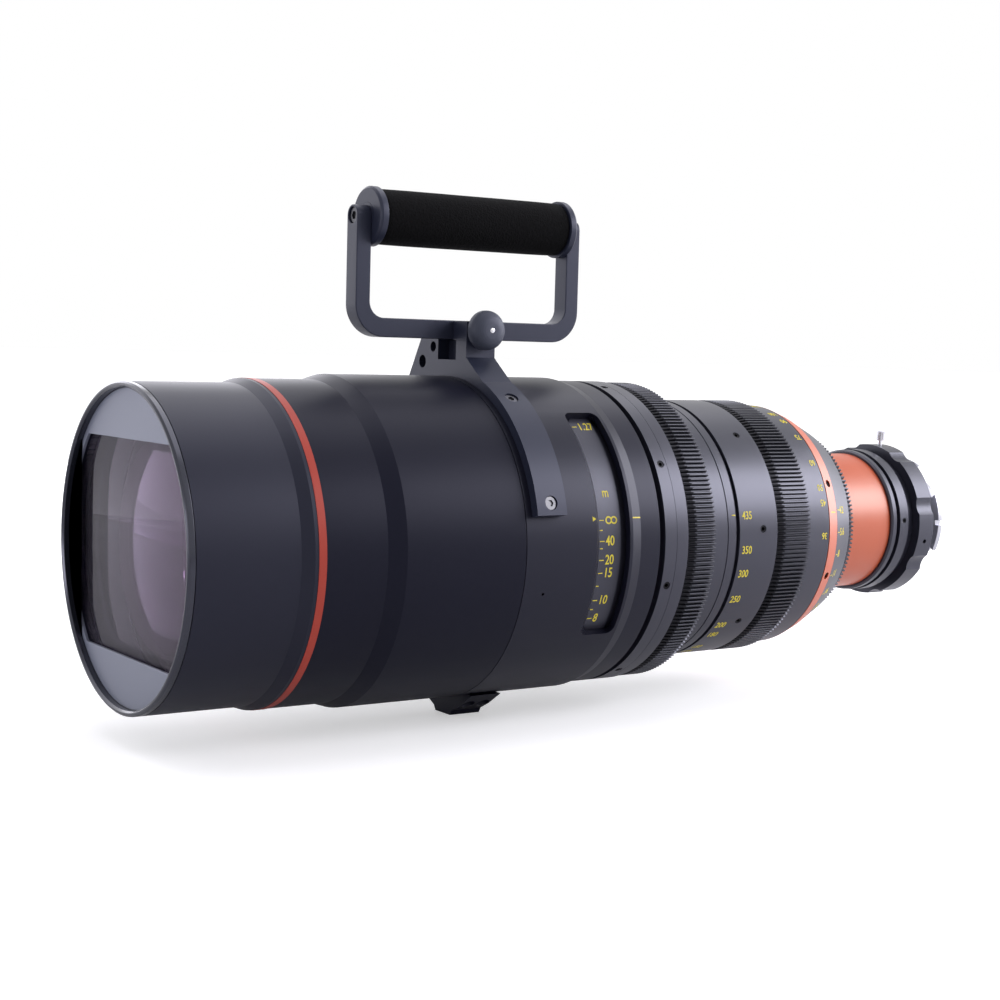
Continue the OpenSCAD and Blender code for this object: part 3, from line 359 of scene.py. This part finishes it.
def clockedPoint(radius, clock, y):
    return Vector((radius * math.cos(clock), y, radius * math.sin(clock)))


alongBarrel = (math.pi / 2, 0, 0)  # the turn that lays a cylinder along the barrel
acrossBarrel = (0, math.pi / 2, 0)


def addBar(radius, depth, place, turn=alongBarrel, around=64):
    bpy.ops.mesh.primitive_cylinder_add(vertices=around, radius=radius, depth=depth, end_fill_type="NGON",
                                        location=place, rotation=turn)
    return bpy.context.object


def blankBar(name, radius, depth, place, around, turn=alongBarrel):
    deselectAll()
    piece = addBar(radius, depth, place, turn, around)
    piece.name = name
    settle(piece)
    return piece


def selectEnds(piece):  # leaves edit mode on, with the bar's two end faces selected
    activate(piece)
    bpy.ops.object.mode_set(mode="EDIT")
    bpy.ops.mesh.select_mode(type="FACE")
    bpy.ops.mesh.select_all(action="DESELECT")
    bpy.ops.object.mode_set(mode="OBJECT")
    for face in piece.data.polygons:
        face.select = abs(face.normal.y) > 0.9
    bpy.ops.object.mode_set(mode="EDIT")


def smoothUnder(angle):  # in degrees, edges sharper than this stay crisp
    bpy.ops.object.shade_smooth_by_angle(angle=math.radians(angle))


def cutWith(piece, cutters, name):
    cutter = joinPieces(cutters, name)
    settle(cutter)
    activate(piece)
    cut = piece.modifiers.new(name, "BOOLEAN")
    cut.operation = "DIFFERENCE"
    cut.solver = "EXACT"
    cut.object = cutter
    bpy.ops.object.modifier_apply(modifier=cut.name)
    bpy.data.objects.remove(cutter)


# Machined pieces with their edges broken, as the real ones have

bevels = {"segments": 2, "sharperThan": 10, "smooth": 32}  # angles in degrees
cleanUp = {"merge": 0.002, "flatter": 0.6}  # points closer than this in mm, faces flatter than this in degrees
edges = {  # width of each broken edge in mm
    "front_rim": 0.5, "light_mask": 0.25, "front_barrel": 0.3, "main_barrel": 0.3, "focus_housing": 0.9,
    "focus_ring": 0.3, "index_ring": 0.3, "zoom_ring": 0.35, "end_ring": 0.2, "iris_ring": 0.35,
    "rear_collar": 0.35, "mount_plate": 0.3, "focus_gear": 0.22, "zoom_gear": 0.22,
    "iris_gear": 0.18, "saddle": 0.5, "clamp_jaw": 0.5, "handle_frame": 0.8, "grip_caps": 0.3, "foot": 0.4,
}
chamfers = {"focus_gear": (6.6, 1.3), "zoom_gear": (6.4, 1.3)}  # length and depth, in mm, at the teeth's front ends, whose faces also take a darker copy of the finish as painted shade

# the saddle's two holes are wider than the source's: centre x and z from the axis, radius, then their depth
saddleHoles = {"holes": [(-14.04, 101.52, 2.8), (-24.84, 93.42, 3.5)], "depth": 9}


def widenHoles(piece):
    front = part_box("saddle")[0].y
    deselectAll()
    cutWith(piece, [addBar(radius * mm, 2 * saddleHoles["depth"] * mm, (x * mm, front, z * mm))
                    for x, z, radius in saddleHoles["holes"]], "saddleHoles")


def finishEdges(piece, width):
    bevel = piece.modifiers.new("brokenEdge", "BEVEL")
    bevel.width = width * mm
    bevel.segments = bevels["segments"]
    bevel.limit_method = "ANGLE"
    bevel.angle_limit = math.radians(bevels["sharperThan"])
    bpy.ops.object.modifier_apply(modifier=bevel.name)
    smoothUnder(bevels["smooth"])
    even = piece.modifiers.new("evenNormals", "WEIGHTED_NORMAL")
    even.keep_sharp = True
    bpy.ops.object.modifier_apply(modifier=even.name)


def chamferTeeth(piece, node):
    length, depth = chamfers[node]
    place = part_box(node)[0].y + length * mm
    bpy.ops.object.mode_set(mode="EDIT")
    bpy.ops.mesh.select_all(action="SELECT")
    bpy.ops.mesh.bisect(plane_co=(0, place, 0), plane_no=(0, 1, 0))
    bpy.ops.object.mode_set(mode="OBJECT")
    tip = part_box(node)[1].x
    for vertex in piece.data.vertices:
        radius = math.hypot(vertex.co.x, vertex.co.z)
        if radius > tip - depth * mm and vertex.co.y < place:
            lowered = radius - depth * mm * (place - vertex.co.y) / (length * mm)
            vertex.co.x *= lowered / radius
            vertex.co.z *= lowered / radius
    # the faces ahead of the chamfer's end get the darker copy of the finish, painted shade
    piece.data.materials.append(paintedGearShade)
    for face in piece.data.polygons:
        face.material_index = 1 if face.center.y < place else 0


def brokenEdges(node, width):
    source = frame["nodes"][node]
    piece = bpy.data.objects.new(node + "_edged", source.data.copy())
    bpy.context.scene.collection.objects.link(piece)
    activate(piece)
    bpy.ops.object.mode_set(mode="EDIT")
    bpy.ops.mesh.select_all(action="SELECT")
    bpy.ops.mesh.remove_doubles(threshold=cleanUp["merge"] * mm)
    bpy.ops.mesh.dissolve_limited(angle_limit=math.radians(cleanUp["flatter"]))
    bpy.ops.object.mode_set(mode="OBJECT")
    if node in chamfers:
        chamferTeeth(piece, node)
    if node == "saddle":
        widenHoles(piece)
    finishEdges(piece, width)
    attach(piece, source["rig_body"])
    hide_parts(node)
    return piece


edged = {node: brokenEdges(node, width) for node, width in edges.items()}
print("edges broken on", len(edged), "pieces")

# The front lenses, ground smooth, with their crown heights in mm

lenses = {
    "front_element": {"front": 1.0, "back": -2.5, "edgeFront": 2.9, "rings": 20, "glass": frontGlass},
    "second_element": {"front": 6.0, "back": 3.0, "edgeFront": 6.0, "rings": 24, "glass": innerGlass},
}
lensMesh = {"around": 160, "smooth": 40}
button = {"radius": 53.3, "station": 23.0, "crown": 7.6}  # the raised middle of the second lens


def crownRise(radius, crown, away):  # height of a cap of this crown, this far from its axis
    ball = (radius ** 2 + crown ** 2) / (2 * crown)
    return math.sqrt(ball ** 2 - away ** 2) - (ball - crown)


def groundLens(node, shape):
    low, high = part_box(node)
    radius = (high.x - low.x) / 2
    faces = {-1: low.y + shape["edgeFront"] * mm, 1: high.y - max(shape["back"], 0) * mm}
    middle = (faces[1] + faces[-1]) / 2
    piece = blankBar(node + "_ground", radius, faces[1] - faces[-1], (0, middle, 0), lensMesh["around"])
    selectEnds(piece)
    for step in range(shape["rings"] - 1):
        bpy.ops.mesh.inset(thickness=radius / shape["rings"], use_individual=True)
    bpy.ops.mesh.poke()
    bpy.ops.object.mode_set(mode="OBJECT")
    for vertex in piece.data.vertices:
        side = -1 if vertex.co.y < middle else 1
        crown = shape["front" if side < 0 else "back"] * mm
        away = min(math.hypot(vertex.co.x, vertex.co.z), radius)
        vertex.co.y = faces[side] + side * math.copysign(crownRise(radius, abs(crown), away), crown)
        if node == "second_element" and side < 0 and away < button["radius"] * mm:
            rise = crownRise(button["radius"] * mm, button["crown"] * mm, away)
            vertex.co.y = station(button["station"]) - rise
    smoothUnder(lensMesh["smooth"])
    dress(piece, shape["glass"], frame["nodes"][node]["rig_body"])
    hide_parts(node)


for node, shape in lenses.items():
    groundLens(node, shape)
print("lenses ground")

# The back focus ring with its scooped grip

lobes = {"count": 8, "phase": 14.5, "scoop": 10.5, "depth": 1.7, "around": 192, "bore": 38.05, "bevel": 0.4,
         "lock": 84, "lockBore": 1.35, "lockFrom": 2, "socket": -12.4, "socketBore": 1.3, "socketFrom": 4}


def lobedRing():
    low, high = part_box("backfocus_ring")
    outside = high.x
    middle = (low.y + high.y) / 2
    ring = blankBar("lobed_ring", outside, high.y - low.y, (0, middle, 0), lobes["around"])
    cutters = [addBar(lobes["bore"] * mm, 2 * outside, (0, middle, 0))]
    for number in range(lobes["count"]):
        clock = math.radians(lobes["phase"] + number * 360 / lobes["count"])
        away = outside + (lobes["scoop"] - lobes["depth"]) * mm
        cutters.append(addBar(lobes["scoop"] * mm, 2 * outside, clockedPoint(away, clock, middle)))
    for hole in ("lock", "socket"):
        clock = math.radians(lobes[hole])
        start = lobes["bore"] + lobes[hole + "From"]
        cutters.append(addBar(lobes[hole + "Bore"] * mm, outside,
                              clockedPoint(start * mm + outside / 2, clock, middle), (0, math.pi / 2 - clock, 0)))
    cutWith(ring, cutters, "scoops")
    finishEdges(ring, lobes["bevel"])
    dress(ring, ringBlack, frame["nodes"]["backfocus_ring"]["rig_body"])
    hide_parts("backfocus_ring")


lobedRing()
print("lobed ring made")

# The foam grip, a sleeve pushed over the rod and squeezed a little by its caps

sleeve = {"round": 1.6, "roundSteps": 4, "squeeze": 0.22, "squeezePower": 6, "dents": 0.12, "dentSize": 16,
          "around": 72, "along": 34, "smooth": 50,
          "rim": 0.98, "skin": 0.8, "level": 0.001}  # shares of the radius or the length, to tell points apart


def foamSleeve():
    low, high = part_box("grip_foam")
    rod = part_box("grip_rod")
    middle = (low + high) / 2
    radius = (high.x - low.x) / 2
    bore = (rod[1].x - rod[0].x) / 2
    length = high.y - low.y
    piece = blankBar("foam_sleeve", radius, length, middle, sleeve["around"])
    selectEnds(piece)
    bpy.ops.mesh.inset(thickness=radius - bore, use_individual=True)
    bpy.ops.mesh.delete(type="FACE")
    bpy.ops.mesh.select_all(action="DESELECT")
    bpy.ops.object.mode_set(mode="OBJECT")
    for edge in piece.data.edges:
        first, second = (piece.data.vertices[index].co for index in edge.vertices)
        outer = all(math.hypot(spot.x - middle.x, spot.z - middle.z) > radius * sleeve["rim"]
                    for spot in (first, second))
        edge.select = outer and abs(first.y - second.y) < length * sleeve["level"]
    bpy.ops.object.mode_set(mode="EDIT")
    bpy.ops.mesh.select_mode(type="EDGE")
    bpy.ops.mesh.bevel(offset=sleeve["round"] * mm, segments=sleeve["roundSteps"], affect="EDGES")
    for cut in range(1, sleeve["along"]):
        bpy.ops.mesh.select_all(action="SELECT")
        bpy.ops.mesh.bisect(plane_co=(0, low.y + length * cut / sleeve["along"], 0), plane_no=(0, 1, 0))
    bpy.ops.object.mode_set(mode="OBJECT")
    for vertex in piece.data.vertices:
        out = Vector((vertex.co.x - middle.x, 0, vertex.co.z - middle.z))
        if out.length < radius * sleeve["skin"]:
            continue
        share = abs(vertex.co.y - middle.y) * 2 / length
        squeeze = -sleeve["squeeze"] * mm * share ** sleeve["squeezePower"]
        dent = -sleeve["dents"] * mm * (0.5 + 0.5 * noise.noise(vertex.co / (sleeve["dentSize"] * mm)))
        vertex.co += out.normalized() * (squeeze + dent)
    activate(piece)
    smoothUnder(sleeve["smooth"])
    dress(piece, gripFoam, "handle")
    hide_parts("grip_foam")


foamSleeve()
print("foam sleeve made")

# The bright pin in the middle of the clamp knob

pin = {"radius": 1.45, "proud": 0.35, "round": 0.3, "roundSteps": 3, "around": 40, "smooth": 30}


def knobPin():
    low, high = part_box("clamp_knob")
    middle = (low + high) / 2
    piece = blankBar("knob_pin", pin["radius"] * mm, 2 * pin["proud"] * mm,
                     (high.x - pin["proud"] * mm, middle.y, middle.z), pin["around"], acrossBarrel)
    rounded = piece.modifiers.new("rounded", "BEVEL")
    rounded.width = pin["round"] * mm
    rounded.segments = pin["roundSteps"]
    bpy.ops.object.modifier_apply(modifier=rounded.name)
    smoothUnder(pin["smooth"])
    dress(piece, brightSteel, "clamp_knob")


knobPin()
print("knob pin made")

# Numerals and lines of the scales

marks = {"height": 0.05, "lift": 0.02, "narrow": 0.78, "bold": 0.012, "curveSteps": 4, "cuts": 2}
infinity = {"loop": 0.235, "stroke": 0.055, "middle": 0.55, "around": (28, 6)}  # shares of the numerals' size
reach = {"from": 150, "to": 30}  # radii in mm between which a mark looks for its surface


def surfaceOf(*pieces):
    graph = bpy.context.evaluated_depsgraph_get()
    return [BVHTree.FromObject(piece, graph) for piece in pieces]


def radiusAt(surface, place, clock):  # how far out the surface lies at this place and clock angle
    outside = reach["from"] * mm
    start = clockedPoint(outside, clock, place)
    inward = -clockedPoint(1, clock, 0)
    hits = [tree.ray_cast(start, inward, outside - reach["to"] * mm)[3] for tree in surface]
    return outside - min(hit for hit in hits if hit is not None)


def wrapOnto(piece, scale, clock, place, upsideDown=False):
    # the flat mark's x runs along the barrel and its y runs up the clock
    turn = -1 if upsideDown else 1
    for vertex in piece.data.vertices:
        along, across, lift = vertex.co
        y = station(place) + turn * along
        wrapped = math.radians(clock) + turn * across / (scale["radius"] * mm)
        surface = radiusAt(scale["surface"], y, wrapped)
        vertex.co = clockedPoint(surface + marks["lift"] * mm + lift, wrapped, y)
    return piece


def numeral(words, size, scale, clock, place, upsideDown=False):
    deselectAll()
    bpy.ops.object.text_add()
    text = bpy.context.object
    text.data.body = words
    text.data.size = size * mm
    text.data.extrude = marks["height"] * mm
    text.data.offset = marks["bold"] * size * mm
    text.data.resolution_u = marks["curveSteps"]
    text.data.align_x = "LEFT"
    text.data.align_y = "CENTER"
    text.scale.x = marks["narrow"]
    bpy.ops.object.convert(target="MESH")
    settle(text)
    return wrapOnto(text, scale, clock, place, upsideDown)


def infinitySign(size, scale, clock, place):
    deselectAll()
    loops = []
    for side in (-1, 1):
        bpy.ops.mesh.primitive_torus_add(major_radius=size * infinity["loop"] * mm,
                                         minor_radius=size * infinity["stroke"] * mm,
                                         major_segments=infinity["around"][0],
                                         minor_segments=infinity["around"][1],
                                         location=(side * size * infinity["loop"] * mm, 0, 0))
        loops.append(bpy.context.object)
    sign = joinPieces(loops, "infinitySign")
    settle(sign)
    for vertex in sign.data.vertices:
        vertex.co.z *= marks["height"] / (size * infinity["stroke"])
        vertex.co.x += size * infinity["middle"] * mm
    return wrapOnto(sign, scale, clock, place)


def line(length, width, scale, clock, place):
    deselectAll()
    bpy.ops.mesh.primitive_cube_add(size=1, location=(length / 2 * mm, 0, 0),
                                    scale=(length * mm, width * mm, 2 * marks["height"] * mm))
    tick = bpy.context.object
    settle(tick)
    activate(tick)
    bpy.ops.object.mode_set(mode="EDIT")
    bpy.ops.mesh.select_all(action="SELECT")
    bpy.ops.mesh.subdivide(number_cuts=marks["cuts"])
    bpy.ops.object.mode_set(mode="OBJECT")
    return wrapOnto(tick, scale, clock, place)


def triangle(size, scale, clock, place):  # points towards the rear and is 1.5 of its radii long
    arrow = blankBar("arrow", size / 1.5 * mm, 2 * marks["height"] * mm, (0, 0, 0), 3, (0, 0, -math.pi / 2))
    return wrapOnto(arrow, scale, clock, place)


focusScale = {
    "surface": surfaceOf(frame["nodes"]["scale_drum"]), "radius": 82,
    "numerals": 231.8, "size": 7.2, "tickPlace": 228.0, "tick": 2.9, "shortTick": 1.8, "width": 0.5,
    "marks": {"40": 2.6, "20": -4.3, "15": -9.1, "10": -19.7, "8": -27.3, "6": -42.0, "5": -56.5,
              "4": -78.0, "3.5": -94.0, "3": -115.0, "2.5": -143.0, "2": -183.0, "1.8": -204.0,
              "1.6": -231.0, "1.4": -264.0, "1.27": 48.4},
    "between": [6.6, 0.0, -14.0, -23.4, -34.5, -49.0, -67.0, -86.0, -104.0, -129.0, -163.0, -217.0, -247.0],
    "far": 10.2, "unit": 20.2,
}
zoomScale = {
    "surface": surfaceOf(edged["zoom_ring"]), "radius": 74.4, "numerals": 332.2, "size": 6.2,
    "long": 435, "degreesPerLog": 68.2, "index": 10.2,
    "focal": [435, 350, 300, 250, 200, 180, 150, 135, 120, 100, 90, 75, 60, 50, 45, 36],
    "backPlace": 398.9, "backSize": 5.6, "backIndex": 169.8,
}
irisScale = {"surface": surfaceOf(edged["iris_ring"]), "radius": 66.1, "numerals": 414.2, "size": 6.0,
             "step": -11.2, "first": 11.8, "tickPlace": 411.6, "tick": 2.0, "width": 0.5,
             "stops": ["4.2", "5.6", "8", "11", "16", "22", "C"]}
indexMarks = {
    "housing": {"surface": surfaceOf(edged["focus_housing"]), "radius": 85.5},
    "ring": {"surface": surfaceOf(edged["index_ring"]), "radius": 74.6},
    "red": {"surface": surfaceOf(edged["end_ring"]), "radius": 69},
    "clock": 10.6, "width": 0.6,
    # size or length, then place behind the front rim
    "arrow": (2.2, 221.6), "focusLine": (6.0, 246.8), "zoomLine": (2.4, 324.6), "irisLine": (4.5, 403.5),
}


def focusMarks():
    far = focusScale["far"]
    place, tickPlace = focusScale["numerals"], focusScale["tickPlace"]
    pieces = [infinitySign(focusScale["size"], focusScale, far, place),
              line(focusScale["tick"], focusScale["width"], focusScale, far, tickPlace),
              numeral("m", focusScale["size"], focusScale, focusScale["unit"], place)]
    for words, clock in focusScale["marks"].items():
        pieces.append(numeral(words, focusScale["size"], focusScale, clock, place))
        pieces.append(line(focusScale["tick"], focusScale["width"], focusScale, clock, tickPlace))
    for clock in focusScale["between"]:
        pieces.append(line(focusScale["shortTick"], focusScale["width"], focusScale, clock, tickPlace))
    return joinPieces(pieces, "focus_marks")


def zoomMarks():
    pieces = []
    for focal in zoomScale["focal"]:
        turn = zoomScale["degreesPerLog"] * math.log(zoomScale["long"] / focal)
        pieces.append(numeral(str(focal), zoomScale["size"], zoomScale, zoomScale["index"] - turn,
                              zoomScale["numerals"]))
        pieces.append(numeral(str(focal), zoomScale["backSize"], zoomScale, zoomScale["backIndex"] - turn,
                              zoomScale["backPlace"], upsideDown=True))
    return joinPieces(pieces, "zoom_marks")


def irisMarks():
    pieces = []
    for number, stop in enumerate(irisScale["stops"]):
        clock = irisScale["first"] + number * irisScale["step"]
        for side in (clock, 180 + clock):
            pieces.append(numeral(stop, irisScale["size"], irisScale, side, irisScale["numerals"]))
            pieces.append(line(irisScale["tick"], irisScale["width"], irisScale, side, irisScale["tickPlace"]))
    return joinPieces(pieces, "iris_marks")


def housingMarks():
    clock = indexMarks["clock"]
    size, place = indexMarks["arrow"]
    pieces = [triangle(size, indexMarks["housing"], clock, place)]
    for name, surface, turn in (("focusLine", "housing", clock), ("zoomLine", "ring", clock),
                                ("zoomLine", "ring", 180 - clock), ("irisLine", "red", clock)):
        size, place = indexMarks[name]
        pieces.append(line(size, indexMarks["width"], indexMarks[surface], turn, place))
    return joinPieces(pieces, "index_marks")


for maker, body in ((focusMarks, "focus_ring"), (zoomMarks, "zoom_ring"), (irisMarks, "iris_ring"),
                    (housingMarks, "housing")):
    dress(maker(), markYellow, body)
print("scales drawn")

# Floor and light

studio = {"floor": 0.8, "floorGlow": (0.5, 1.3, 0.42, 0.86), "world": 0.3, "tone": (0.93, 0.92, 1.0),
          "floorRough": 0.6, "floorGloss": 0.1, "size": 60, "aim": 300}  # the lamps aim at this station
lamps = {
    "overheadSoftbox": {"place": (-0.35, -0.1, 1.5), "size": 1.7, "power": 16},
    "rightSoftbox": {"place": (1.0, 0.78, 0.72), "size": 0.8, "power": 16},
    "rearSoftbox": {"place": (0.45, 1.6, 0.6), "size": 1.3, "power": 33},
    "frontSoftbox": {"place": (0.35, -2.2, 0.25), "size": 0.6, "power": 8},
    "leftSoftbox": {"place": (-0.95, -0.95, 0.37), "size": 1.15, "power": 4.2},
    "leftWall": {"place": (-1.8, -0.1, 0.5), "size": 1.4, "power": 14},
}


def addFloor():
    deselectAll()
    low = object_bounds()[0]
    bpy.ops.mesh.primitive_plane_add(size=studio["size"], location=(0, 0, low[2]))
    floor = bpy.context.object
    floor.name = "studioFloor"
    material, shader = newMaterial("paleFloor")
    tree = material.node_tree
    shade = studio["floor"]
    setInputs(shader, {"Base Color": (shade, shade, shade, 1), "Roughness": studio["floorRough"],
                       "Specular IOR Level": studio["floorGloss"], "Emission Color": (1, 1, 1, 1)})
    away = tree.nodes.new("ShaderNodeVectorMath")
    away.operation = "LENGTH"
    link(tree, tree.nodes.new("ShaderNodeTexCoord").outputs["Object"], away.inputs[0])
    fade = tree.nodes.new("ShaderNodeMapRange")
    setInputs(fade, dict(zip(("From Min", "From Max", "To Min", "To Max"), studio["floorGlow"])))
    link(tree, away.outputs["Value"], fade.inputs["Value"])
    seen = tree.nodes.new("ShaderNodeLightPath").outputs["Is Camera Ray"]
    link(tree, maths(tree, "MULTIPLY", seen, fade.outputs["Result"]), shader.inputs["Emission Strength"])
    floor.data.materials.append(material)


def addLamp(name, settings, aim):
    bpy.ops.object.light_add(type="AREA", location=settings["place"])
    lamp = bpy.context.object
    lamp.name = name
    lamp.data.size = settings["size"]
    lamp.data.energy = settings["power"]
    lamp.data.color = studio["tone"]
    lamp.rotation_euler = (Vector(aim) - Vector(settings["place"])).to_track_quat("-Z", "Y").to_euler()


def addWorld():
    world = bpy.data.worlds.new("paleStudio")
    bpy.context.scene.world = world
    world.use_nodes = True
    tree = world.node_tree
    background = tree.nodes["Background"]
    rays = tree.nodes.new("ShaderNodeLightPath").outputs
    seen = maths(tree, "MAXIMUM", rays["Is Camera Ray"], rays["Is Glossy Ray"])
    seen = maths(tree, "MAXIMUM", seen, rays["Is Transmission Ray"])
    strength = tree.nodes.new("ShaderNodeMapRange")
    setInputs(strength, {"To Min": studio["world"], "To Max": 1})
    link(tree, seen, strength.inputs["Value"])
    background.inputs["Color"].default_value = (1, 1, 1, 1)
    link(tree, strength.outputs["Result"], background.inputs["Strength"])


addFloor()
for name, settings in lamps.items():
    addLamp(name, settings, (0, station(studio["aim"]), 0))
addWorld()
bpy.context.scene.view_settings.view_transform = "Standard"
